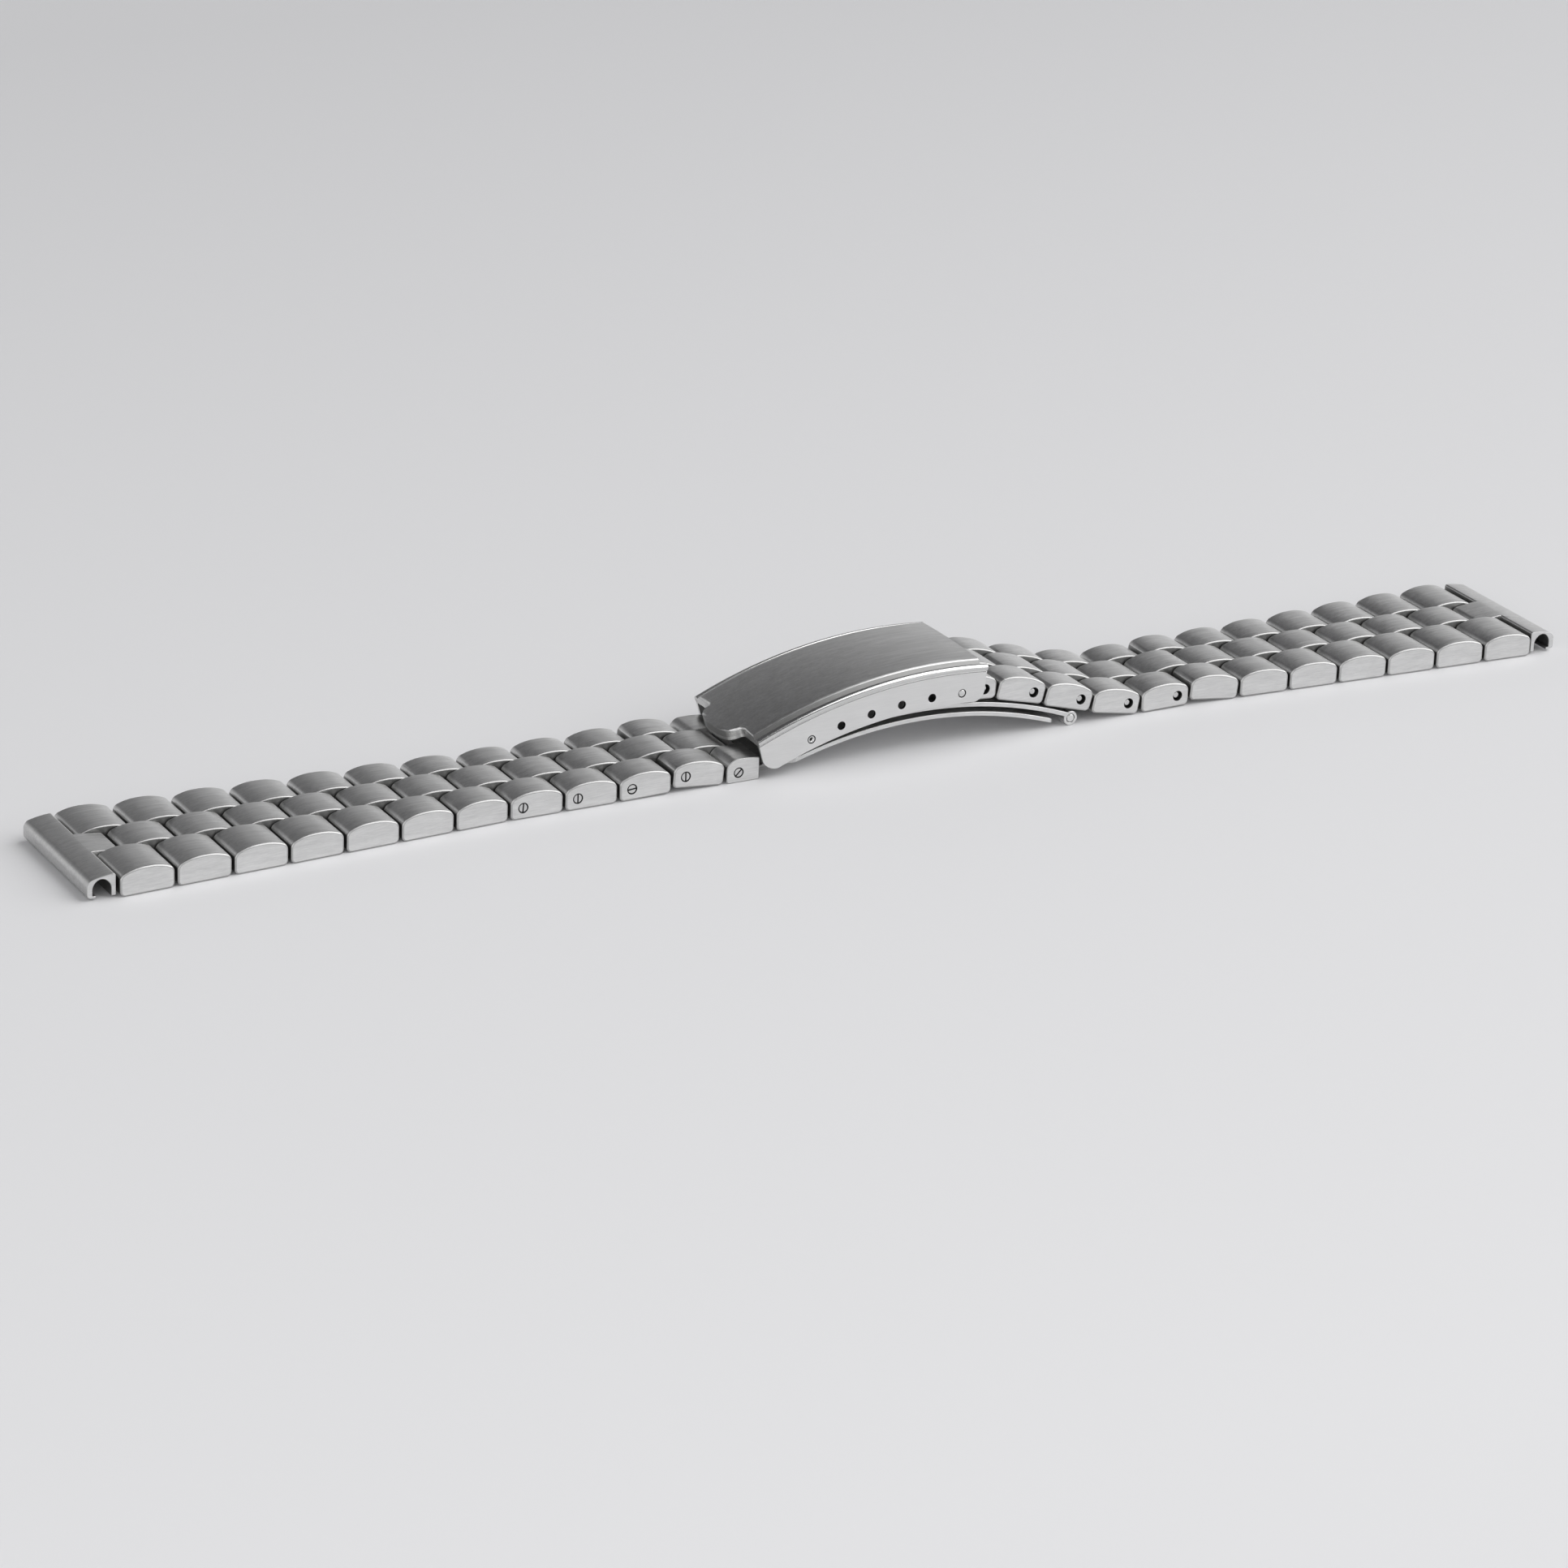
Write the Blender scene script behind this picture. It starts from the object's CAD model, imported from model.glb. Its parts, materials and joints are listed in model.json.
"""Link watch bracelet, dressed for the studio: crowned links with softly rounded edges, a brushed
clasp cover with its bead and thumb tab, push pins and slotted screws.

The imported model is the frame. Lengths are metres, and every piece lies where its solid lies.
Links, bars and the fork are shaped about their own pin, with x towards the next pin, z up and
the near side at -y. The cover is shaped about the centre of the circle that its holes lie on.
"""

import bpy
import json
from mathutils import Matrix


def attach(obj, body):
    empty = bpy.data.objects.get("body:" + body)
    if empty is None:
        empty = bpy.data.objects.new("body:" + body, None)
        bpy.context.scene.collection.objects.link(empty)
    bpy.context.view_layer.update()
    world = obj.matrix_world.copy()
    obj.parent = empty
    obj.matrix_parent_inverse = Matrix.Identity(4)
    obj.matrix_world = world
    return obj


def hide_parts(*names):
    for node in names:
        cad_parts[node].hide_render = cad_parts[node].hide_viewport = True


bl_info = {
    "name": "Link Watch Bracelet",
    "version": (1, 0, 0),
    "blender": (4, 5, 0),
    "location": "View3D > Sidebar > Bracelet",
    "description": "Builds the links, clasp and studio of a steel watch bracelet",
    "category": "Object",
}

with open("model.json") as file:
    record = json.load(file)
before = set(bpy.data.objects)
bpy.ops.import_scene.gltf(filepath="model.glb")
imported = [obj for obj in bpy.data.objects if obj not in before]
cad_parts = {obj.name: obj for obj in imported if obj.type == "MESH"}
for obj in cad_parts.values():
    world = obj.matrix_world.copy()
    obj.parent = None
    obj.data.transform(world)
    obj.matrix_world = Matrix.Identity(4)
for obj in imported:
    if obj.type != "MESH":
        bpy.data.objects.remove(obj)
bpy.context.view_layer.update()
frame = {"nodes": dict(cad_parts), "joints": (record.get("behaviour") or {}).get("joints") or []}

import json
from functools import partial
from math import atan2, cos, hypot, pi, radians, sin, sqrt

import bmesh
import bpy
from bpy.props import FloatProperty, FloatVectorProperty, PointerProperty
from bpy.types import Operator, Panel, PropertyGroup
from mathutils import Matrix, Vector

MM = 0.001
NEAR = 0.02 * MM  # closer than this, a point lies on a face or line
MERGED = 0.001 * MM  # closer than this, two points become one
FACING, ALONG = 0.9, 0.1  # least and most of a normal where a face looks or runs along an axis
HARD_ANGLE = 50.0  # degrees

PINS = {joint["child"]: Vector(joint["pos_m"]) for joint in frame["joints"]}  # by the body that turns
EVERY_LINK = [(side, number) for side in ("left", "right") for number in range(1, 12)]
REMOVABLE = range(8, 12)  # links whose screw or push pin comes out
SCREW_TURNS = {8: 85, 9: 90, 10: 5, 11: 95}  # degrees of the slots
TAPERED = 7  # links over which the band narrows
HOLE_DEPTH = 0.9 * MM  # of the hole round a screw's head
FASTENER = 4.3 * MM  # from the near face to a screw's or push pin's end
PIN_END = 0.2 * MM  # of a pin, inside an outer link
PLAY = 0.05 * MM  # round a pin in its bore
SOFT = 0.05 * MM  # rounding of small rims
REFINED = 0.08 * MM  # rounding of the blades and small parts
THROUGH = 9 * MM  # half the length of a through cut
BLOCK = 5 * MM  # reach of a box that cuts a fork open
FINE_SIDES, SIDES, PIN_SIDES = 28, 24, 20

# In the cover's section, inward from the outside of the walls or down from the top of the bead
BEAD_FOOT = 0.8 * MM  # down to the wall
QUIRK = 0.07 * MM  # sharp groove between wall and bead
BEAD_WIDTH = 0.6 * MM
GROOVE = 0.66 * MM, 0.76 * MM  # both sides of the groove beside the bead
GROOVE_DEPTH = 0.14 * MM
PANEL_EDGE = 1.35 * MM
LIP_DEPTH = 0.7 * MM  # of the front lip, along the cover
BRIGHT_TO, DARK_TO = 0.7 * MM, 1.22 * MM  # ends of the polished and of the dark strip
HOLES = 6  # in each wall of the cover

# The photograph's frame
FRAME_PIXELS = 1932
FOCAL_PIXELS = 7000
SENSOR = 36.0

# Finishes, in the order of a piece's material slots
BRUSHED, POLISHED, SATIN, CREVICE, WALL, EDGE, INNER = range(7)


def mm(name, text, default):
    """A length property, given in millimetres."""
    return FloatProperty(name=name, description=text, default=default * MM, min=0.0, precision=5,
                         subtype="DISTANCE", unit="LENGTH")


def share(name, text, default):
    """A property between nothing and all."""
    return FloatProperty(name=name, description=text, default=default, min=0.0, max=1.0, subtype="FACTOR")


def angle(name, text, default):
    """An angle property, given in radians."""
    return FloatProperty(name=name, description=text, default=default, subtype="ANGLE", unit="ROTATION")


def colour(name, text, *default):
    """A colour property, given as red, green and blue."""
    return FloatVectorProperty(name=name, description=text, size=3, default=default, min=0.0, max=1.0,
                               subtype="COLOR")


class LinkSizes(PropertyGroup):
    """Sizes of the links and their pins."""
    step: mm("Pin spacing", "Between the two pins of a link", 3.15)
    pitch: mm("Pitch", "From one outer link to the next", 6.3)
    gap: mm("Gap", "Between the ends of neighbouring links", 0.3)
    centre_width: mm("Centre width", "Width of a centre link", 5.0)
    side_gap: mm("Side gap", "Between a centre link and its outer links", 0.1)
    end_width: mm("Watch end", "Width of the band at the watch", 18.0)
    clasp_width: mm("Clasp end", "Width of the band at the clasp", 13.4)
    pin_height: mm("Pin height", "Pin above the underside", 1.25)
    end_height: mm("End height", "Height of a link at its ends", 2.2)
    crown_height: mm("Crown height", "Height of a link in its middle", 2.87)
    top_round: mm("Top rounding", "Rounding of a link's upper ends", 0.45)
    bottom_round: mm("Bottom rounding", "Rounding of a link's lower ends", 0.55)
    edge: mm("Side edge", "Width of the rounded edge along a side", 0.2)
    pin: mm("Pin radius", "Radius of the pins", 0.525)
    head: mm("Screw head", "Radius of a screw's head", 0.46)
    head_hole: mm("Head hole", "Radius of the hole round it", 0.57)
    push_pin: mm("Push pin", "Radius of a push pin's end", 0.4)


class BarSizes(PropertyGroup):
    """Sizes of the end bars, the fork and the short link."""
    start: mm("Bar start", "Inner face of the bar, outward from its pin", 1.725)
    reach: mm("Bar length", "Across the bar, along the band", 3.1)
    half: mm("Half bar", "Half the bar's length across the band", 8.6)
    inner_height: mm("Inner height", "Height of the bar beside the links", 2.58)
    outer_height: mm("Outer height", "Height of the bar's outer wall", 2.05)
    crown: mm("Bar crown", "Rise of the bar's top over a straight slope", 0.12)
    channel: mm("Channel", "Radius of the spring bar channel", 1.0)
    channel_wall: mm("Channel wall", "Thickness of the bar's inner leg", 0.5)
    channel_height: mm("Channel height", "Axis of the channel above the underside", 1.1)
    foot: mm("Leg end", "Ends of the legs above the underside", 0.25)
    turn_in: mm("Turned-in lip", "How far the outer leg's foot turns in", 0.35)
    turn_height: mm("Lip thickness", "Thickness of the turned-in lip", 0.25)
    lug_floor: mm("Fork pin", "The fork's pin above its underside", 1.1)
    lug_height: mm("Fork height", "Height of the fork", 2.5)
    lug_tail: mm("Fork tail", "From the fork's pin to its flat face", 2.45)
    lug_bridge: mm("Fork bridge", "Thickness of the bridge between its arms", 0.85)
    lug_round: mm("Fork rounding", "Rounding of the fork's upper outer edge", 1.1)
    blade: mm("Blade", "Thickness of a blade", 0.5)
    nose: mm("Short nose", "From the spring bar to its inner end", 1.3)
    nose_drop: mm("Short drop", "Its underside below the spring bar", 1.15)
    bar_bore: mm("Spring bar bore", "Radius of the short link's bore", 0.8)


class ClaspSizes(PropertyGroup):
    """Sizes of the cover."""
    circle: mm("Hole circle", "Radius on which the holes lie", 51.86)
    under: mm("Lower edge radius", "Radius of the walls' lower edge", 50.73)
    half_width: mm("Half width", "Half the width over the walls", 7.35)
    sheet: mm("Sheet", "Thickness of a wall", 0.5)
    bead_height: mm("Bead height", "Top of the bead above the lower edge", 4.2)
    bead_round: mm("Bead rounding", "Radius of the half round bead", 0.4)
    recess: mm("Wall recess", "How far the wall lies behind the bead", 0.15)
    rear_step: mm("Rear step", "How far the panel ends before the walls", 0.6)
    panel_height: mm("Panel height", "Edge of the panel above the lower edge", 4.52)
    crown: mm("Panel crown", "Rise of the panel over its edges", 0.13)
    ceiling: mm("Ceiling", "Underside of the panel above the lower edge", 3.8)
    lead: mm("Lead", "From the hinge pin to the front of the walls", 5.6)
    tail: mm("Tail", "From the last hole to the rear end", 2.75)
    hole_pitch: mm("Hole pitch", "Between the holes for the spring bar", 3.7)
    hole: mm("Hole radius", "Radius of these holes", 0.48)
    pin: mm("Hinge pin", "Radius of the hinge pin's ends", 0.37)
    tab_length: mm("Tab length", "Reach of the thumb tab", 1.8)
    tab_width: mm("Tab width", "Width of the thumb tab", 6.2)
    notch: mm("Notch", "Depth of the notches beside the thumb tab", 0.12)
    lip: mm("Lip", "Front lip below the ceiling", 0.35)
    lip_round: mm("Lip rounding", "Rounding of the panel's front edge", 0.34)
    lean: angle("Front lean", "How far the walls lean forward at their feet", 0.12)
    front_round: mm("Front rounding", "Rounding of the walls' front feet", 2.1)
    rear_round: mm("Rear rounding", "Rounding of the walls' rear feet", 1.5)


class SteelLook(PropertyGroup):
    """Colours and finish of the steel."""
    steel: colour("Steel", "Colour of the brushed steel", 0.57, 0.57, 0.565)
    bright: colour("Polished steel", "Colour of the polished steel", 0.66, 0.66, 0.655)
    crevice: colour("Crevice", "Colour deep in holes and slots", 0.05, 0.05, 0.05)
    wall: colour("Wall", "Colour of the cover's smooth walls", 0.76, 0.76, 0.755)
    side: colour("Side", "Colour of the satin side faces", 0.70, 0.70, 0.695)
    inner: colour("Inner side", "Colour of the faces between the links", 0.24, 0.24, 0.237)
    rim: colour("Rim", "Colour of the rounded side edges", 0.48, 0.48, 0.475)
    rim_rough: share("Rim roughness", "Roughness of the rounded side edges", 0.44)
    wall_rough: share("Wall roughness", "Roughness of the cover's walls", 0.3)
    rough: share("Brushed roughness", "Roughness of the brushed faces", 0.33)
    satin_rough: share("Satin roughness", "Roughness of the side faces", 0.42)
    polished_rough: share("Polished roughness", "Roughness of the polished faces", 0.22)
    grain: share("Grain", "Strength of the brushed grain", 0.68)


class StudioLook(PropertyGroup):
    """Floor, surroundings and camera."""
    floor_near: colour("Near floor", "Colour of the floor in front", 0.80, 0.80, 0.81)
    floor_far: colour("Far floor", "Colour of the floor behind", 0.62, 0.62, 0.63)
    low: colour("Low light", "Colour of the surroundings from the floor up", 0.8, 0.8, 0.81)
    high: colour("High light", "Colour of the surroundings overhead", 0.09, 0.09, 0.094)
    turn: angle("Camera turn", "Camera's azimuth", -0.5089)
    rise: angle("Camera rise", "Camera's elevation", 0.3846)
    roll: angle("Camera roll", "Camera's turn about its own line of sight", -0.0359)
    distance: mm("Camera distance", "From the camera to the middle of the band", 608.9)
    aside: mm("Aside", "Band's middle right of the line of sight", 4.929)
    above: mm("Above", "Band's middle above the line of sight", 6.534)
    focal: FloatProperty(name="Focal length", description="In millimetres, for a 36 mm square frame",
                         default=FOCAL_PIXELS / FRAME_PIXELS * SENSOR, min=1.0)


# Materials

def feed(tree, socket, value):
    """Links an output to a socket, or gives the socket a value."""
    if isinstance(value, bpy.types.NodeSocket):
        tree.links.new(value, socket)
    else:
        socket.default_value = value


def add_node(tree, kind, *inputs, **named):
    """The outputs of a new node; its inputs are values or outputs of other nodes."""
    node = tree.nodes.new(f"ShaderNode{kind}")
    for key, value in named.items():
        if hasattr(node, key):
            setattr(node, key, value)
        else:
            feed(tree, node.inputs[key.replace("_", " ")], value)
    for socket, value in zip(node.inputs, inputs):
        feed(tree, socket, value)
    return node.outputs


def shaded(name):
    """A new material, its tree and the inputs of its shader."""
    material = bpy.data.materials.new(name)
    material.use_nodes = True
    return material, material.node_tree, material.node_tree.nodes["Principled BSDF"].inputs


def grain_group():
    """Brushed grain: fine scratches drawn out along one direction, with a slow unevenness."""
    if "Brushed Grain" in bpy.data.node_groups:
        return bpy.data.node_groups["Brushed Grain"]
    coarse_scale, coarse_share, middle = 0.27, 0.5, 0.75
    contrast, level, drift, gloss_drift = 1.1, 0.97, 0.08, 0.22
    group = bpy.data.node_groups.new("Brushed Grain", "ShaderNodeTree")
    for way, kind, names in (("INPUT", "Color", ("Colour",)),
                             ("INPUT", "Float", ("Roughness", "Strength", "Fine", "Long")),
                             ("OUTPUT", "Color", ("Colour",)), ("OUTPUT", "Float", ("Roughness", "Height"))):
        for name in names:
            group.interface.new_socket(name, in_out=way, socket_type=f"NodeSocket{kind}")
    source = group.nodes.new("NodeGroupInput").outputs
    result = group.nodes.new("NodeGroupOutput").inputs
    vector, noise, maths = (partial(add_node, group, kind) for kind in ("VectorMath", "TexNoise", "Math"))
    place = add_node(group, "TexCoord")["Object"]
    stretch = add_node(group, "CombineXYZ", source["Long"], source["Fine"], source["Fine"])[0]
    drawn = vector(place, stretch, operation="MULTIPLY")[0]
    fine = noise(drawn, Scale=1.0, Detail=4.0, Roughness=0.7)[0]
    coarse_place = vector(drawn, operation="SCALE", Scale=coarse_scale)[0]
    coarse = noise(coarse_place, Scale=1.0, Detail=2.0, Roughness=0.5)[0]
    slow = noise(place, Scale=260.0, Detail=2.0)[0]
    both = maths(coarse, coarse_share, fine, operation="MULTIPLY_ADD")[0]
    centred = maths(both, middle, operation="SUBTRACT")[0]
    height = maths(centred, source["Strength"], operation="MULTIPLY")[0]
    shade = maths(height, contrast, level, operation="MULTIPLY_ADD")[0]
    shade = maths(slow, drift, shade, operation="MULTIPLY_ADD")[0]
    rough = maths(height, gloss_drift, source["Roughness"], operation="MULTIPLY_ADD", use_clamp=True)[0]
    feed(group, result["Colour"], vector(source["Colour"], operation="SCALE", Scale=shade)[0])
    feed(group, result["Roughness"], rough)
    feed(group, result["Height"], height)
    return group


def steel(name, tone, rough, strength, fine, long, depth, spread=0.0):
    """A steel whose colour, roughness and relief come from the grain; spread widens its gloss across."""
    if name in bpy.data.materials:
        return bpy.data.materials[name]
    material, tree, shader = shaded(name)
    shader["Metallic"].default_value = 1.0
    shader["Anisotropic"].default_value = spread
    if spread:
        feed(tree, shader["Tangent"], add_node(tree, "CombineXYZ", Y=1.0)[0])
    grain = add_node(tree, "Group", node_tree=grain_group(), Colour=(*tone, 1.0), Roughness=rough,
                     Strength=strength, Fine=fine, Long=long)
    feed(tree, shader["Base Color"], grain["Colour"])
    feed(tree, shader["Roughness"], grain["Roughness"])
    feed(tree, shader["Normal"], add_node(tree, "Bump", Strength=1.0, Distance=depth, Height=grain["Height"])[0])
    return material


def steels():
    """The finishes, in the order of a piece's material slots."""
    look = bpy.context.scene.steel_look
    # Name, colour, roughness, strength of the grain, its scale across and along, its relief and spread
    return [steel(*finish) for finish in (
        ("Brushed Steel", look.steel, look.rough, look.grain, 9000.0, 260.0, 0.016 * MM, 0.6),
        ("Polished Steel", look.bright, look.polished_rough, 0.12, 6000.0, 400.0, 0.002 * MM),
        ("Satin Steel", look.side, look.satin_rough, 0.4, 7000.0, 700.0, 0.004 * MM),
        ("Dark Crevice", look.crevice, 0.6, 0.4, 7000.0, 3000.0, 0.004 * MM),
        ("Smooth Wall Steel", look.wall, look.wall_rough, 0.12, 7000.0, 500.0, 0.002 * MM),
        ("Rounded Edge Steel", look.rim, look.rim_rough, 0.2, 7000.0, 500.0, 0.002 * MM),
        ("Inner Side Steel", look.inner, look.satin_rough, 0.4, 7000.0, 700.0, 0.004 * MM),
    )]


# Shaping

def add_object(name, data):
    """A new object in the scene."""
    made = bpy.data.objects.new(name, data)
    bpy.context.scene.collection.objects.link(made)
    return made


def mesh_of(name, bm):
    """A new mesh from a bmesh, which is freed."""
    mesh = bpy.data.meshes.new(name)
    bm.to_mesh(mesh)
    bm.free()
    return mesh


def set_down(bm, matrix):
    """Moves a bmesh to its seat, and turns its faces back where the seat mirrors it."""
    bmesh.ops.transform(bm, matrix=matrix, verts=bm.verts)
    if matrix.determinant() < 0:
        bmesh.ops.reverse_faces(bm, faces=bm.faces)
    bm.normal_update()
    return bm


def finish_piece(name, bm, body, nodes, seat=None):
    """Writes a bmesh as a piece that stands for its solids and rides on their body."""
    crease = radians(35)
    if seat:
        set_down(bm, seat)
    bmesh.ops.remove_doubles(bm, verts=bm.verts, dist=MERGED / 2)
    mesh = mesh_of(name, bm)
    for face in mesh.polygons:
        face.use_smooth = True
    mesh.set_sharp_from_angle(angle=crease)
    for material in steels():
        mesh.materials.append(material)
    piece = add_object(name, mesh)
    weighted = piece.modifiers.new("Even shading", "WEIGHTED_NORMAL")
    weighted.keep_sharp = True
    weighted.weight = 80
    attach(piece, body)
    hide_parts(*nodes)


def cut(bm, cutter):
    """The bmesh with the cutter taken away from it."""
    holders = [add_object("cut", mesh_of("cut", source)) for source in (bm.copy(), cutter)]
    tool = holders[0].modifiers.new("cut", "BOOLEAN")
    tool.operation = "DIFFERENCE"
    tool.solver = "EXACT"
    tool.object = holders[1]
    bpy.context.view_layer.update()
    result = bpy.data.meshes.new_from_object(holders[0].evaluated_get(bpy.context.evaluated_depsgraph_get()))
    if not result.polygons:
        raise RuntimeError("a cut left nothing of its piece")
    bm.clear()
    bm.from_mesh(result)
    meshes = [holder.data for holder in holders] + [result]
    for holder in holders:
        bpy.data.objects.remove(holder)
    for mesh in meshes:
        bpy.data.meshes.remove(mesh)
    return bm


def join(bm, other):
    """Adds another bmesh to this one."""
    mesh = mesh_of("joined", other)
    bm.from_mesh(mesh)
    bpy.data.meshes.remove(mesh)


def box_cut(bm, low, high):
    """Takes a box between two corners away from the bmesh."""
    low, high = Vector(low), Vector(high)
    cutter = bmesh.new()
    bmesh.ops.create_cube(cutter, size=1.0, matrix=Matrix.Translation((low + high) / 2)
                          @ Matrix.Diagonal((*(high - low), 1)))
    cut(bm, cutter)


def rod(bm, radius, start, end, x=0.0, z=0.0, sides=SIDES):
    """Adds a round rod along Y from start to end, at x and z."""
    turn = Matrix.Translation((x, (start + end) / 2, z)) @ Matrix.Rotation(pi / 2, 4, "X")
    bmesh.ops.create_cone(bm, cap_ends=True, segments=sides, radius1=radius, radius2=radius,
                          depth=abs(end - start), matrix=turn)


def drill(bm, radius, start, end, places=((0.0, 0.0),), sides=SIDES):
    """The bmesh with round holes along Y from start to end, at places (x, z)."""
    drills = bmesh.new()
    for x, z in places:
        rod(drills, radius, start, end, x, z, sides)
    return cut(bm, drills)


def sharp_edges(bm, degrees):
    """The edges where two faces meet at more than this angle."""
    return [e for e in bm.edges if len(e.link_faces) == 2 and e.calc_face_angle(0) > radians(degrees)]


def hole_rims(bm, radius, places, side):
    """The rims of round holes at places (x, z), in the faces this far out on either side."""
    return [e for e in sharp_edges(bm, HARD_ANGLE) if all(
        abs(abs(v.co.y) - side) < NEAR
        and any(abs(hypot(v.co.x - x, v.co.z - z) - radius) < NEAR for x, z in places) for v in e.verts)]


def polish(bm, edges, width, segments=2, finish=POLISHED):
    """Rounds edges and gives the new faces their finish."""
    if not edges:
        raise RuntimeError("no edge to round")
    made = bmesh.ops.bevel(bm, geom=edges, offset=width, offset_type="OFFSET", segments=segments,
                           profile=0.5, affect="EDGES", clamp_overlap=True, material=-1)
    for face in made["faces"]:
        face.material_index = finish


def polish_rims(bm, width):
    """Rounds the edges all round both side faces of a slab."""
    bm.normal_update()
    rims = [e for e in bm.edges if len(e.link_faces) == 2
            and sum(abs(f.normal.y) > FACING for f in e.link_faces) == 1]
    polish(bm, rims, width, 3, EDGE)


def round_corners(bm, verts, width, segments=7):
    """Rounds corners of a flat outline."""
    bmesh.ops.bevel(bm, geom=verts, offset=width, offset_type="OFFSET", segments=segments,
                    profile=0.5, affect="VERTICES", clamp_overlap=True, material=-1)


def pull(bm, vector):
    """Pulls a flat outline out into a solid."""
    grown = bmesh.ops.extrude_face_region(bm, geom=bm.faces[:])["geom"]
    bmesh.ops.translate(bm, vec=vector, verts=[item for item in grown if isinstance(item, bmesh.types.BMVert)])
    bmesh.ops.recalc_face_normals(bm, faces=bm.faces)


def outline_slab(corners, low, high, arch=None, cuts=13, segments=7):
    """A slab across the band from its side outline.

    Each corner is (x, z, rounding); arch raises the edge from the last corner to the first
    by that much in its middle.
    """
    fullness = 2.4
    bm = bmesh.new()
    bm.faces.new([bm.verts.new((x, low, z)) for x, z, _ in corners])
    for x, z, width in corners:
        if width:
            round_corners(bm, [min(bm.verts, key=lambda vert: hypot(vert.co.x - x, vert.co.z - z))],
                          width, segments)
    if arch:
        (x0, z0, round0), (x1, z1, round1) = corners[-1], corners[0]
        middle = Vector(((x0 + x1) / 2, low, (z0 + z1) / 2))
        edge = min(bm.edges, key=lambda edge: ((edge.verts[0].co + edge.verts[1].co) / 2 - middle).length)
        bmesh.ops.subdivide_edges(bm, edges=[edge], cuts=cuts)
        reach = max(round0, round1, 0.1 * MM)
        for vert in bm.verts:
            along = (vert.co.x - x0) / (x1 - x0)
            below = z0 + (z1 - z0) * along - vert.co.z
            if 0 < along < 1 and below < reach:
                vert.co.z += arch * (1 - abs(2 * along - 1)**fullness) * (1 - max(0, below) / reach)
    pull(bm, (0, high - low, 0))
    return bm


def finish_faces(bm):
    """Satin on the faces that look across the band or down, brushed on the others without a finish."""
    across, down = 0.8, 0.5
    bm.normal_update()
    for face in bm.faces:
        if face.material_index not in (POLISHED, CREVICE, EDGE, INNER):
            satin = abs(face.normal.y) > across or face.normal.z < -down
            face.material_index = SATIN if satin else BRUSHED


def refined(node):
    """A merged copy of a solid's mesh with its flat faces whole and its edges rounded."""
    flat, hard = radians(1.5), 40.0
    bm = bmesh.new()
    bm.from_mesh(frame["nodes"][node].data)
    bmesh.ops.remove_doubles(bm, verts=bm.verts, dist=MERGED)
    bmesh.ops.dissolve_limit(bm, angle_limit=flat, verts=bm.verts, edges=bm.edges)
    for face in bm.faces:
        face.material_index = BRUSHED
    bm.normal_update()
    polish(bm, sharp_edges(bm, hard), REFINED)
    finish_faces(bm)
    return bm


# Seats

def seat_of(name, onward):
    """Matrix that puts a piece on its pin, x towards the place onward, with the near side at -Y."""
    pin = PINS[name]
    out = (onward - pin).normalized()
    up = Vector((-out.z, 0, out.x)) * (1 if out.x > 0 else -1)
    return Matrix.Translation(pin) @ Matrix((out, (0, 1, 0), up)).transposed().to_4x4()


def link_seat(side, kind, number):
    """Seat of a link on its inner pin, x towards its outer one."""
    if kind == "centre":
        child = f"{side}_link_{number}"
    else:
        child = f"{side}_centre_{number - 1}" if number > 1 else f"end_piece_{side}"
    return seat_of(f"{side}_{kind}_{number}", PINS[child])


# Links

def half_width(sizes, station):
    """Half the width of the band, station pitches from the first link's outer end."""
    return sizes.end_width / 2 - (sizes.end_width - sizes.clasp_width) / 2 * min(station / TAPERED, 1)


def link_ends(sizes):
    """Both ends of a link along x."""
    return -sizes.pitch / 4 + sizes.gap / 2, 3 * sizes.pitch / 4 - sizes.gap / 2


def link_block(sizes, start, end, low, high, narrow=0.0, drop=None):
    """A link's body: flat underside, arched top, round ends and softly rounded side edges."""
    end_on = 0.93
    drop = sizes.pin_height if drop is None else drop
    top = sizes.end_height - sizes.pin_height
    bm = outline_slab([(end, top, sizes.top_round), (end, -drop, sizes.bottom_round),
                       (start, -drop, sizes.bottom_round), (start, top, sizes.top_round)],
                      low, high, sizes.crown_height - sizes.end_height)
    outer = max(abs(low), abs(high))
    for vert in bm.verts:
        if narrow and abs(abs(vert.co.y) - outer) < 0.1 * MM:
            vert.co.y *= 1 - narrow / outer * (end - vert.co.x) / (end - start)
    polish_rims(bm, sizes.edge)
    bm.normal_update()
    for face in bm.faces:
        beside = abs(abs(face.calc_center_median().y) - sizes.centre_width / 2) < 2 * sizes.side_gap
        if abs(face.normal.y) > FACING and beside \
                or abs(face.normal.x) > end_on and face.material_index != EDGE:
            face.material_index = INNER
    return bm


def near_hole(bm, x, near, radius):
    """Sinks a round hole into the near face, dark inside and with a polished rim."""
    drill(bm, radius, near - HOLE_DEPTH, near + HOLE_DEPTH, [(x, 0.0)], FINE_SIDES)
    bm.normal_update()
    for face in bm.faces:
        middle = face.calc_center_median()
        if NEAR < middle.y - near < HOLE_DEPTH + NEAR and hypot(middle.x - x, middle.z) < radius + NEAR:
            face.material_index = CREVICE
    polish(bm, hole_rims(bm, radius, [(x, 0.0)], -near), SOFT)


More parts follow.
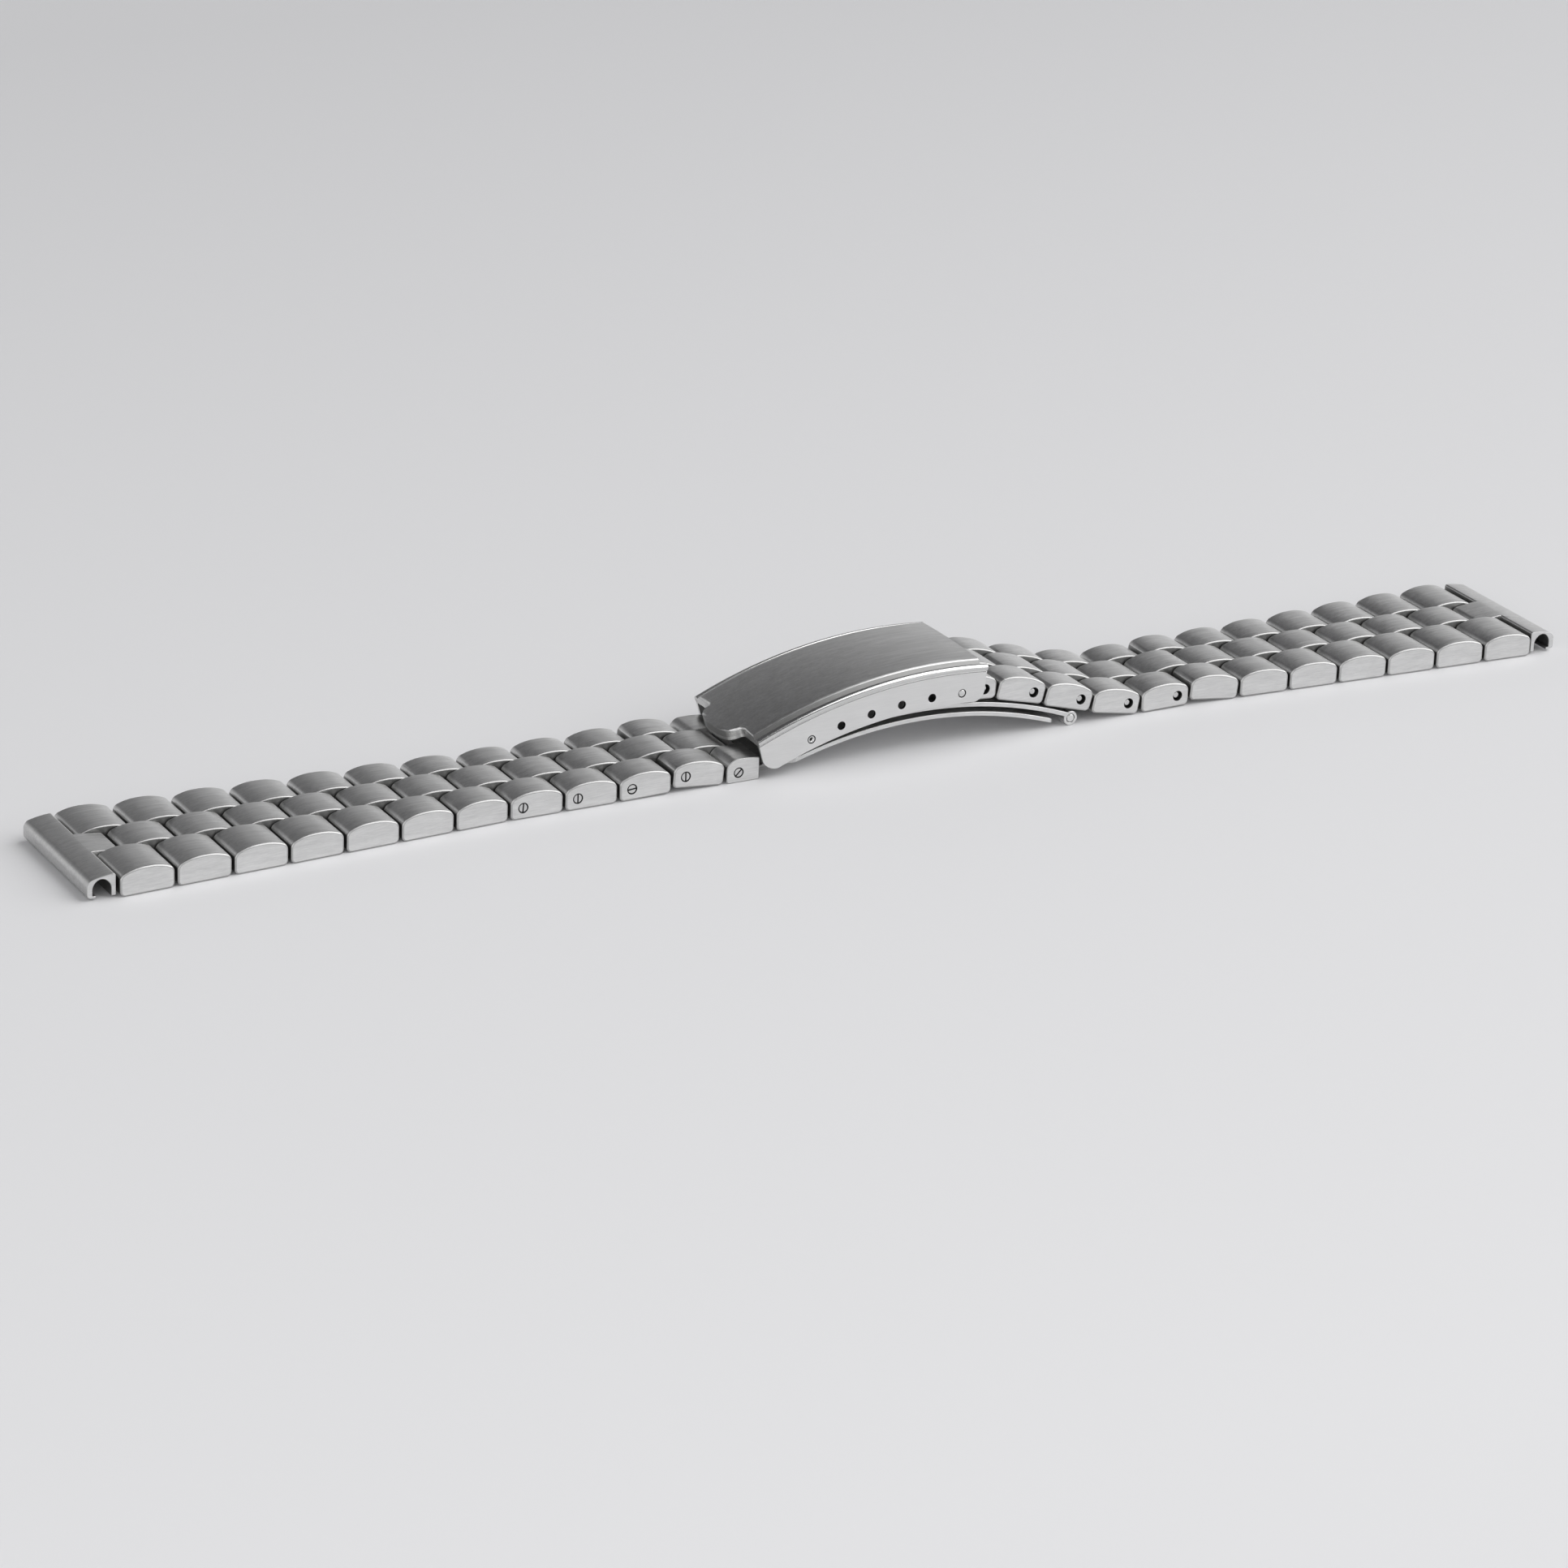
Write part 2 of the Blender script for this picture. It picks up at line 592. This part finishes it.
def fastener(bm, x, near, radius, sunk, sides, rounding, segments, dark, slot=None):
    """A screw or push pin in its hole, sunk below the near face and dark from some depth on."""
    pin = bmesh.new()
    rod(pin, radius, near + sunk, near + FASTENER, x, 0.0, sides)
    front = [e for e in pin.edges if all(v.co.y < near + sunk + NEAR for v in e.verts)]
    polish(pin, front, rounding, segments)
    if slot:
        cut(pin, slot)
    for face in pin.faces:
        face.material_index = CREVICE if face.calc_center_median().y > near + dark else POLISHED
    join(bm, pin)


def slotted_head(bm, x, near, radius, turn):
    """A screw, its head slightly below the near face, with a slot across it."""
    slot = bmesh.new()
    across, deep, wide = 4 * radius, 0.7 * MM, 0.16 * MM
    spin = Matrix.Translation((x, near, 0)) @ Matrix.Rotation(radians(turn), 4, "Y")
    bmesh.ops.create_cube(slot, size=1.0, matrix=spin @ Matrix.Diagonal((across, deep, wide, 1)))
    fastener(bm, x, near, radius, 0.04 * MM, FINE_SIDES, SOFT, 2, 0.1 * MM, slot)


def push_pin(bm, x, near, radius):
    """A push pin's round end, sunk in its hole."""
    fastener(bm, x, near, radius, 0.3 * MM, SIDES, 0.14 * MM, 3, 0.5 * MM)


class BRACELET_OT_outer_links(Operator):
    """Build the near and far outer links, with their pins and screws"""
    bl_idname = "bracelet.outer_links"
    bl_label = "Outer links"

    def execute(self, context):
        sizes = context.scene.link_sizes
        start, end = link_ends(sizes)
        inner_face = sizes.centre_width / 2 + sizes.side_gap
        near = -sizes.clasp_width / 2
        for side, number in EVERY_LINK:
            name = f"{side}_link_{number}"
            outer = half_width(sizes, number - 1)
            narrow = outer - half_width(sizes, number)
            bm = bmesh.new()
            for low, high in ((-outer, -inner_face), (inner_face, outer)):
                block = link_block(sizes, start, end, low, high, narrow)
                if low < 0 and number in REMOVABLE:
                    near_hole(block, sizes.step, near, sizes.head_hole)
                join(bm, block)
            if number in REMOVABLE and side == "left":
                slotted_head(bm, sizes.step, near, sizes.head, SCREW_TURNS[number])
            elif number in REMOVABLE:
                push_pin(bm, sizes.step, near, sizes.push_pin)
            for x in (0.0, sizes.step):
                rod(bm, sizes.pin, -inner_face - PIN_END, inner_face + PIN_END, x, sides=PIN_SIDES)
            finish_faces(bm)
            finish_piece(f"outer_{name}", bm, name, [name], seat=link_seat(side, "link", number))
        return {"FINISHED"}


class BRACELET_OT_centre_links(Operator):
    """Build the centre links, bored for their pins"""
    bl_idname = "bracelet.centre_links"
    bl_label = "Centre links"

    def execute(self, context):
        sizes = context.scene.link_sizes
        width = sizes.centre_width
        master = link_block(sizes, *link_ends(sizes), -width / 2, width / 2)
        drill(master, sizes.pin + PLAY, -width, width, [(0.0, 0.0), (sizes.step, 0.0)], PIN_SIDES)
        finish_faces(master)
        for side, number in EVERY_LINK:
            name = f"{side}_centre_{number}"
            finish_piece(f"middle_{name}", master.copy(), name, [name],
                         seat=link_seat(side, "centre", number))
        master.free()
        return {"FINISHED"}


class BRACELET_OT_end_pieces(Operator):
    """Build the end pieces: a bar with a channel, and a tongue on the last pins"""
    bl_idname = "bracelet.end_pieces"
    bl_label = "End pieces"

    def execute(self, context):
        sizes, bar = context.scene.link_sizes, context.scene.bar_sizes
        top_round, foot_round, heel_round, inner_round = 0.6 * MM, 0.45 * MM, 0.06 * MM, 0.25 * MM
        tongue_root, tongue_crown, tongue_edge = 0.3 * MM, 0.08 * MM, 0.1 * MM
        width = sizes.centre_width
        floor = -sizes.pin_height
        start, end = bar.start, bar.start + bar.reach
        root, tip = start + tongue_root, link_ends(sizes)[0]
        roof, roof_round = floor + bar.channel_height + bar.channel, 0.99 * bar.channel
        legs = start + bar.channel_wall, start + bar.channel_wall + 2 * bar.channel
        foot = floor + bar.foot
        lip, lip_end = foot + bar.turn_height, legs[1] - bar.turn_in
        outline = [(end, floor + bar.outer_height, top_round), (end, foot, foot_round), (lip_end, foot, 0),
                   (lip_end, lip, 0), (legs[1], lip, 0), (legs[1], roof, roof_round), (legs[0], roof, roof_round),
                   (legs[0], foot, 0), (start, foot, heel_round), (start, floor + bar.inner_height, inner_round)]
        tongue_outline = [(root, floor + bar.inner_height, 0), (root, floor, 0), (tip, floor, sizes.bottom_round),
                          (tip, floor + sizes.end_height, sizes.top_round)]
        for name, way in (("end_piece_left", -1), ("end_piece_right", 1)):
            bm = outline_slab(outline, -bar.half, bar.half, bar.crown)
            polish_rims(bm, REFINED)
            for face in bm.faces:
                middle = face.calc_center_median()
                inside = legs[0] - NEAR < middle.x < legs[1] + NEAR and middle.z < roof + NEAR
                on_lip = middle.z < lip + NEAR and face.normal.z > FACING
                if (inside and not on_lip or face.normal.x < -FACING) and abs(face.normal.y) < ALONG \
                        and face.material_index != EDGE:
                    face.material_index = INNER
                elif face.normal.x > FACING:
                    face.material_index = SATIN
            tongue = outline_slab(tongue_outline, -width / 2, width / 2, tongue_crown)
            polish_rims(tongue, tongue_edge)
            join(bm, drill(tongue, sizes.pin + PLAY, -width, width))
            finish_faces(bm)
            seat = seat_of(name, PINS[name] + Vector((way, 0, 0)))
            finish_piece(f"bar_{name}", bm, name, [name], seat=seat)
        return {"FINISHED"}


# Clasp

class BRACELET_OT_lug(Operator):
    """Build the fork of the clasp and its screw"""
    bl_idname = "bracelet.lug"
    bl_label = "Clasp lug"

    def execute(self, context):
        sizes, bar = context.scene.link_sizes, context.scene.bar_sizes
        foot_round, tail_round, arch, edge, slot_turn = 0.35 * MM, 0.1 * MM, 0.15 * MM, 0.1 * MM, 45
        half, slot = sizes.clasp_width / 2, sizes.centre_width / 2 + sizes.side_gap
        floor, top = -bar.lug_floor, bar.lug_height - bar.lug_floor
        outer, bridge = sizes.pitch / 4 - sizes.gap / 2, bar.lug_bridge - bar.lug_tail
        bm = outline_slab([(outer, top, bar.lug_round), (outer, floor, foot_round),
                           (-bar.lug_tail, floor, tail_round), (-bar.lug_tail, top, tail_round)],
                          -half, half, arch, 3)
        polish_rims(bm, edge)
        box_cut(bm, (bridge, -slot, -BLOCK), (BLOCK, slot, BLOCK))
        box_cut(bm, (-BLOCK, -slot, -BLOCK), (bridge + 0.1 * MM, slot, floor + bar.blade))
        near_hole(bm, 0.0, -half, sizes.head_hole)
        finish_faces(bm)
        seat = seat_of("left_centre_11", PINS["left_centre_11"] - Vector((1, 0, 0)))
        finish_piece("fork", bm, "clasp_base", ["clasp_lug"], seat=seat)
        screw = bmesh.new()
        slotted_head(screw, 0.0, -half, sizes.head, slot_turn)
        rod(screw, sizes.pin, -slot - PIN_END, slot + PIN_END)
        finish_piece("fork_screw", screw, "clasp_base", ["lug_screw"], seat)
        return {"FINISHED"}


class BRACELET_OT_blades(Operator):
    """Build the two folding blades and their pin"""
    bl_idname = "bracelet.blades"
    bl_label = "Blades"

    def execute(self, context):
        lower = refined("lower_blade")
        behind = PINS["left_centre_11"].x + context.scene.bar_sizes.lug_tail
        # Taken off beside the fork: x from its flat face and y, in millimetres
        plan = ((0.05, 4.6), (2.4, 4.6), (5.2, 7.4), (5.2, 9), (0.05, 9))
        for way in (-1, 1):
            gap = bmesh.new()
            gap.faces.new([gap.verts.new((behind + x * MM, way * y * MM, -MM)) for x, y in plan])
            pull(gap, (0, 0, 3.2 * MM))
            cut(lower, gap)
        finish_piece("blade_lower", lower, "clasp_base", ["lower_blade"])
        finish_piece("blade_upper", refined("upper_blade"), "upper_blade", ["upper_blade"])
        finish_piece("fold_pin", refined("fold_hinge_pin"), "clasp_base", ["fold_hinge_pin"])
        return {"FINISHED"}


def cover_centre(clasp):
    """Centre of the circle through the cover's hinge pin and its spring bar."""
    hinge, bar = PINS["cover"], PINS["short_link"]
    chord = bar - hinge
    down = sqrt(clasp.circle**2 - chord.length_squared / 4)
    return (hinge + bar) / 2 + Vector((chord.z, 0, -chord.x)).normalized() * down


def on_arc(centre, turn, radius):
    """Matrix that stands a piece on a circle about the centre, turned from straight up."""
    return Matrix.Translation(centre) @ Matrix.Rotation(turn, 4, "Y") @ Matrix.Translation((0, 0, radius))


def sweep(bm, centre, start, end, steps):
    """Sweeps a section about the centre from start to end, both in radians from straight up."""
    bmesh.ops.rotate(bm, verts=bm.verts, cent=centre, matrix=Matrix.Rotation(start, 3, "Y"))
    bmesh.ops.spin(bm, geom=bm.verts[:] + bm.edges[:] + bm.faces[:], cent=centre, axis=(0, 1, 0),
                   angle=end - start, steps=steps, use_merge=False, use_normal_flip=False, use_duplicate=False)
    bmesh.ops.remove_doubles(bm, verts=bm.verts, dist=MERGED)
    bmesh.ops.recalc_face_normals(bm, faces=bm.faces)


def cover_shell(clasp, centre, start, end):
    """The cover's section swept from start to end."""
    half, sheet, bead, panel = clasp.half_width, clasp.sheet, clasp.bead_height, clasp.panel_height
    wall, foot, edge = half - clasp.recess, bead - BEAD_FOOT, half - PANEL_EDGE
    bead_turns = (-52, -32, -12, 8, 28, 48, 68, 90)
    crown_places = (4.5 * MM, 3.0 * MM, 1.5 * MM, 0.0)
    corners = [(half - sheet, 0), (wall, 0), (wall, foot - 0.04 * MM), (wall - QUIRK, foot),
               (wall - QUIRK, foot + QUIRK)]
    corners += [(half - clasp.bead_round * (1 - cos(radians(turn))),
                 bead - clasp.bead_round * (1 - sin(radians(turn)))) for turn in bead_turns]
    corners += [(half - BEAD_WIDTH, bead), (half - GROOVE[0], bead - GROOVE_DEPTH),
                (half - GROOVE[1], bead - GROOVE_DEPTH), (edge, panel)]
    right = corners + [(y, panel + clasp.crown * (1 - (y / edge)**2)) for y in crown_places]
    outline = right + [(-y, h) for y, h in reversed(right[:-1])]
    outline += [(sheet - half, clasp.ceiling), (half - sheet, clasp.ceiling)]
    bm = bmesh.new()
    verts = [bm.verts.new((centre.x, y, centre.z + clasp.under + h)) for y, h in outline]
    bm.faces.new(verts)
    # Corner on the right, width of its rounding and segments; its mirror image is rounded with it
    rounds = ((16, 0.2 * MM, 4), (14, 0.03 * MM, 2), (15, 0.03 * MM, 2), (1, 0.07 * MM, 2), (13, 0.08 * MM, 2))
    last = len(outline) - 3
    for corner, width, segments in rounds:
        round_corners(bm, [verts[corner], verts[last - corner]], width, segments)
    round_corners(bm, [verts[-1], verts[-2]], 0.4 * MM, 3)
    sweep(bm, centre, start, end, 48)
    return bm


class BRACELET_OT_cover(Operator):
    """Build the clasp cover with its bead, thumb tab and holes, and its hinge pin"""
    bl_idname = "bracelet.cover"
    bl_label = "Cover"

    def execute(self, context):
        clasp = context.scene.clasp_sizes
        centre = cover_centre(clasp)
        overrun, lip_play, hole_edge = 1.2 * MM, 0.1 * MM, 0.07 * MM
        at_hinge, at_bar = (atan2(PINS[name].x - centre.x, PINS[name].z - centre.z)
                            for name in ("cover", "short_link"))
        front = at_hinge - clasp.lead / clasp.circle
        start = front - (clasp.tab_length + overrun) / clasp.circle
        end = at_bar + clasp.tail / clasp.circle
        bm = cover_shell(clasp, centre, start, end)
        cut(bm, self.tab_cutter(clasp, centre, front))
        lip = self.lip_block(clasp, centre, start + lip_play / clasp.circle, front + LIP_DEPTH / clasp.circle)
        join(bm, cut(lip, self.tab_cutter(clasp, centre, front)))
        bm.normal_update()
        foot = front - clasp.panel_height * sin(clasp.lean) / clasp.under
        for turn, width, way, lean in ((foot, clasp.front_round, 1, clasp.lean), (end, clasp.rear_round, -1, 0.0)):
            cut(bm, self.foot_cutter(clasp, centre, turn, width, way, lean))
        cut(bm, self.rear_cutter(clasp, centre, end))
        turns = [at_hinge + i * clasp.hole_pitch / clasp.circle for i in range(HOLES)]
        places = [(centre.x + clasp.circle * sin(turn), centre.z + clasp.circle * cos(turn)) for turn in turns]
        drill(bm, clasp.hole, -THROUGH, THROUGH, places, FINE_SIDES)
        bm.normal_update()
        polish(bm, hole_rims(bm, clasp.hole, places, clasp.half_width - clasp.recess), hole_edge)
        bm.normal_update()
        for face in bm.faces:
            if face.material_index != POLISHED:
                face.material_index = self.finish_of(face, clasp, centre, front, places)
        polish(bm, [e for e in sharp_edges(bm, HARD_ANGLE) if e.calc_length() > NEAR
                    and not self.hidden_seam(clasp, centre, front, e)], SOFT)
        finish_piece("cover_shell", bm, "cover", ["cover"])
        self.hinge_pin(clasp)
        return {"FINISHED"}

    def finish_of(self, face, clasp, centre, front, places):
        """Finish of a face of the cover, by where it lies and which way it looks."""
        towards_front = 0.8
        middle = face.calc_center_median()
        inward = clasp.half_width - abs(middle.y)
        height = hypot(middle.x - centre.x, middle.z - centre.z) - clasp.under
        ahead = Vector((-cos(front), 0, sin(front)))
        if abs(face.normal.y) < ALONG and any(
                hypot(middle.x - x, middle.z - z) < clasp.hole + NEAR for x, z in places):
            return CREVICE
        if abs(inward - clasp.recess) < NEAR and height < clasp.bead_height - BEAD_FOOT:
            return WALL
        if height < clasp.ceiling + NEAR and inward > clasp.sheet - NEAR:
            return SATIN
        if face.normal.dot(ahead) > towards_front and height < clasp.panel_height - clasp.lip_round:
            return EDGE
        if inward < BRIGHT_TO:
            return POLISHED
        return INNER if inward < DARK_TO else BRUSHED

    def hinge_pin(self, clasp):
        """The cover's hinge pin, its ends turned to a ring and a shallow hollow."""
        ring, hollow, depth = 0.12 * MM, 0.08 * MM, 0.1 * MM
        hinge = PINS["cover"]
        pin = bmesh.new()
        reach = clasp.half_width - clasp.recess - NEAR
        rod(pin, clasp.pin, -reach, reach, hinge.x, hinge.z, FINE_SIDES)
        caps = [f for f in pin.faces if abs(f.normal.y) > FACING]
        bmesh.ops.inset_individual(pin, faces=caps, thickness=ring, depth=0.0)
        bmesh.ops.inset_individual(pin, faces=caps, thickness=hollow, depth=-depth)
        for face in pin.faces:
            face.material_index = CREVICE if face in caps else POLISHED
        finish_piece("cover_pin", pin, "cover", ["cover_hinge_pin"])

    def hidden_seam(self, clasp, centre, front, edge):
        """True for the edges where the lip joins the panel's underside."""
        middle = (edge.verts[0].co + edge.verts[1].co) / 2 - centre
        height = hypot(middle.x, middle.z) - clasp.under - clasp.ceiling
        return abs(height) < NEAR and atan2(middle.x, middle.z) < front + (LIP_DEPTH + 0.1 * MM) / clasp.circle

    def lip_block(self, clasp, centre, start, end):
        """Bar under the panel's front edge that makes its lip deeper."""
        bm = bmesh.new()
        half, low = clasp.half_width - clasp.sheet / 2, clasp.under + clasp.ceiling
        corners = ((-half, low - clasp.lip), (half, low - clasp.lip), (half, low), (-half, low))
        bm.faces.new([bm.verts.new((centre.x, y, centre.z + h)) for y, h in corners])
        sweep(bm, centre, start, end, 6)
        return bm

    def tab_cutter(self, clasp, centre, front):
        """Cutter that leaves the thumb tab standing and rounds the panel's front edge."""
        bm = bmesh.new()
        reach, below, above, steps = 6 * MM, 8 * MM, 5 * MM, 5
        wide, half_tab, edge = clasp.half_width + MM, clasp.tab_width / 2, clasp.half_width - PANEL_EDGE
        half = [(0, wide), (clasp.notch, 1.18 * half_tab), (-0.62 * clasp.tab_length, 1.06 * half_tab),
                (-clasp.tab_length, 0.55 * half_tab)]
        outline = [(x, -y) for x, y in half] + half[::-1] + [(-reach, wide), (-reach, -wide)]
        verts = [bm.verts.new((x, y, -below)) for x, y in outline]
        bm.faces.new(verts)
        for left, right, width in ((1, 6, 0.5 * MM), (2, 5, 0.75 * MM), (3, 4, 0.95 * MM)):
            round_corners(bm, [verts[left], verts[right]], width)
        top = bm.faces[:]
        levels = [(0.0, -clasp.lip_round)]
        for i in range(1, steps + 1):
            turn = i * pi / 2 / steps
            levels.append((clasp.lip_round * (1 - cos(turn)), -clasp.lip_round * (1 - sin(turn))))
        levels.append((clasp.lip_round, above))
        shift = 0.0
        for grow, height in levels:
            made = bmesh.ops.extrude_face_region(bm, geom=top)["geom"]
            if grow:
                bmesh.ops.delete(bm, geom=top, context="FACES_ONLY")
            top = [item for item in made if isinstance(item, bmesh.types.BMFace)]
            ring = [loop.vert for loop in top[0].loops]
            places = [vert.co.copy() for vert in ring]
            area = sum(a.x * b.y - b.x * a.y for a, b in zip(places, places[1:] + places[:1]))
            for i, vert in enumerate(ring):
                along = (places[(i + 1) % len(ring)] - places[i - 1]).normalized() * (1 if area > 0 else -1)
                rise = clasp.crown * max(0, 1 - (places[i].y / edge)**2)
                vert.co = (places[i].x + along.y * (grow - shift), places[i].y - along.x * (grow - shift),
                           height + rise)
            shift = grow
        set_down(bm, on_arc(centre, front, clasp.under + clasp.panel_height) @ Matrix.Rotation(clasp.lean, 4, "Y"))
        bmesh.ops.recalc_face_normals(bm, faces=bm.faces)
        return bm

    def rear_cutter(self, clasp, centre, end):
        """Cutter that lets the walls stand out behind the panel."""
        low, high, half = 3.4 * MM, 6 * MM, clasp.half_width - GROOVE[0]
        bm = outline_slab([(-clasp.rear_step, low, 0), (MM, low, 0), (MM, high, 0),
                           (-clasp.rear_step, high, 0)], -half, half)
        return set_down(bm, on_arc(centre, end, clasp.under))

    def foot_cutter(self, clasp, centre, turn, width, way, lean):
        """Cutter that rounds the lower corners of both walls at one end of the cover."""
        slack = 0.03 * MM
        reach = width + 2 * slack
        sag = reach**2 / (2 * clasp.under)
        bm = outline_slab([(-MM, -MM, 0), (reach, -MM, 0), (reach, -slack - sag, 0), (-slack, -slack, width),
                           (reach * sin(lean) - slack, reach * cos(lean), 0), (-MM, reach * cos(lean), 0)],
                          -THROUGH, THROUGH, segments=14)
        return set_down(bm, on_arc(centre, turn, clasp.under) @ Matrix.Diagonal((way, 1, 1, 1)))


class BRACELET_OT_short_link(Operator):
    """Build the short link and the spring bar that it turns on"""
    bl_idname = "bracelet.short_link"
    bl_label = "Short link and spring bar"

    def execute(self, context):
        sizes, bar = context.scene.link_sizes, context.scene.bar_sizes
        half, slot = sizes.clasp_width / 2, sizes.centre_width / 2 + sizes.side_gap
        end = sizes.step + sizes.pitch / 4 - sizes.gap / 2
        bm = link_block(sizes, -bar.nose, end, -half, half, drop=bar.nose_drop)
        box_cut(bm, (sizes.pitch / 4, -slot, -BLOCK), (THROUGH, slot, BLOCK))
        drill(bm, bar.bar_bore, -THROUGH, THROUGH)
        near_hole(bm, sizes.step, -half, sizes.head_hole)
        push_pin(bm, sizes.step, -half, sizes.push_pin)
        rod(bm, sizes.pin, -slot - PIN_END, slot + PIN_END, sizes.step)
        finish_faces(bm)
        finish_piece("inner_short_link", bm, "short_link", ["short_link"],
                     seat=seat_of("short_link", PINS["right_centre_11"]))
        for part in ("tube", "tips"):
            node = f"spring_bar_{part}"
            finish_piece(f"bar_{part}", refined(node), "cover", [node])
        return {"FINISHED"}


# Stage

def floor_material(look):
    """Matt grey sweep that darkens gently towards the back."""
    front, back = -0.15, 0.3
    material, tree, shader = shaded("Studio Floor")
    shader["Roughness"].default_value = 0.8
    shader["Specular IOR Level"].default_value = 0.2
    place = add_node(tree, "SeparateXYZ", add_node(tree, "TexCoord")["Object"])
    depth = add_node(tree, "MapRange", place["Y"], From_Min=front, From_Max=back)[0]
    blend = next(s for s in add_node(tree, "Mix", data_type="RGBA", Factor=depth) if s.type == "RGBA")
    ends = [s for s in blend.node.inputs if s.type == "RGBA"]
    for end, tone in zip(ends, (look.floor_near, look.floor_far)):
        end.default_value = (*tone, 1.0)
    feed(tree, shader["Base Color"], blend)
    return material


def soft_lamp(name, place, size, power):
    """A square area lamp that looks at the middle of the band."""
    data = bpy.data.lights.new(name, "AREA")
    data.shape = "SQUARE"
    data.size = size
    data.energy = power
    lamp = add_object(name, data)
    lamp.location = place
    lamp.rotation_euler = (-Vector(place)).to_track_quat("-Z", "Y").to_euler()


class BRACELET_OT_stage(Operator):
    """Set up the floor, the soft lamps and the camera"""
    bl_idname = "bracelet.stage"
    bl_label = "Studio"

    def execute(self, context):
        look = context.scene.studio_look
        half_floor, sunk = 4.0, 0.01 * MM
        bm = bmesh.new()
        bmesh.ops.create_grid(bm, x_segments=1, y_segments=1, size=half_floor)
        mesh = mesh_of("studio_floor", bm)
        mesh.transform(Matrix.Translation((0, 0, -sunk)))
        mesh.materials.append(floor_material(look))
        floor = add_object("studio_floor", mesh)
        self.surroundings(context, look)
        soft_lamp("Key", (1.95, -0.7, 2.0), 3.8, 112.0)
        soft_lamp("Fill", (-2.0, -1.6, 1.6), 3.0, 34.0)
        self.camera(context, look)
        context.scene.view_settings.view_transform = "Standard"
        return {"FINISHED"}

    def surroundings(self, context, look):
        """Plain light from all round, pale low down and dark overhead."""
        low_end, high_start = 0.24, 0.5
        world = bpy.data.worlds.new("Studio")
        world.use_nodes = True
        tree = world.node_tree
        place = add_node(tree, "SeparateXYZ", add_node(tree, "TexCoord")["Generated"])
        light = add_node(tree, "ValToRGB", place["Z"])[0]
        ramp = light.node.color_ramp
        ramp.interpolation = "EASE"
        ramp.elements[0].position, ramp.elements[0].color = low_end, (*look.low, 1.0)
        ramp.elements[1].position, ramp.elements[1].color = high_start, (*look.high, 1.0)
        feed(tree, tree.nodes["Background"].inputs["Color"], light)
        context.scene.world = world

    def camera(self, context, look):
        """Camera at the photograph's angle."""
        turn, rise, roll = look.turn, look.rise, look.roll
        forward = Vector((-sin(turn) * cos(rise), cos(turn) * cos(rise), -sin(rise)))
        right = Vector((cos(turn), sin(turn), 0))
        down = forward.cross(right)
        across = cos(roll) * right + sin(roll) * down
        along = cos(roll) * down - sin(roll) * right
        middle = Vector((0, 0, 2 * MM))
        place = middle - across * look.aside + along * look.above - forward * look.distance
        data = bpy.data.cameras.new("Camera")
        data.sensor_width = data.sensor_height = SENSOR
        data.lens = look.focal
        data.clip_start, data.clip_end = 0.01, 20.0
        camera = add_object("Camera", data)
        camera.matrix_world = Matrix.Translation(place) @ Matrix((across, -along, -forward)).transposed().to_4x4()
        context.scene.camera = camera


class BRACELET_PT_panel(Panel):
    """Lists the steps that build the bracelet"""
    bl_label = "Link watch bracelet"
    bl_idname = "BRACELET_PT_panel"
    bl_space_type = "VIEW_3D"
    bl_region_type = "UI"
    bl_category = "Bracelet"

    def draw(self, context):
        for step in STEPS:
            self.layout.operator(step.bl_idname)
        for group in GROUPS:
            values = getattr(context.scene, group)
            for name in values.__annotations__:
                self.layout.prop(values, name)


STEPS = (BRACELET_OT_outer_links, BRACELET_OT_centre_links, BRACELET_OT_end_pieces, BRACELET_OT_lug,
         BRACELET_OT_blades, BRACELET_OT_cover, BRACELET_OT_short_link, BRACELET_OT_stage)
GROUPS = {"link_sizes": LinkSizes, "bar_sizes": BarSizes, "clasp_sizes": ClaspSizes, "steel_look": SteelLook,
          "studio_look": StudioLook}
CLASSES = (*GROUPS.values(), *STEPS, BRACELET_PT_panel)


def register():
    """Registers the properties, the steps and the panel."""
    for made in CLASSES:
        bpy.utils.register_class(made)
    for name, group in GROUPS.items():
        setattr(bpy.types.Scene, name, PointerProperty(type=group))


def unregister():
    """Takes them out again."""
    for name in GROUPS:
        delattr(bpy.types.Scene, name)
    for made in reversed(CLASSES):
        bpy.utils.unregister_class(made)


def main():
    """Builds every piece."""
    register()
    for step in STEPS:
        area, name = step.bl_idname.split(".")
        getattr(getattr(bpy.ops, area), name)()


if __name__ == "__main__":
    main()
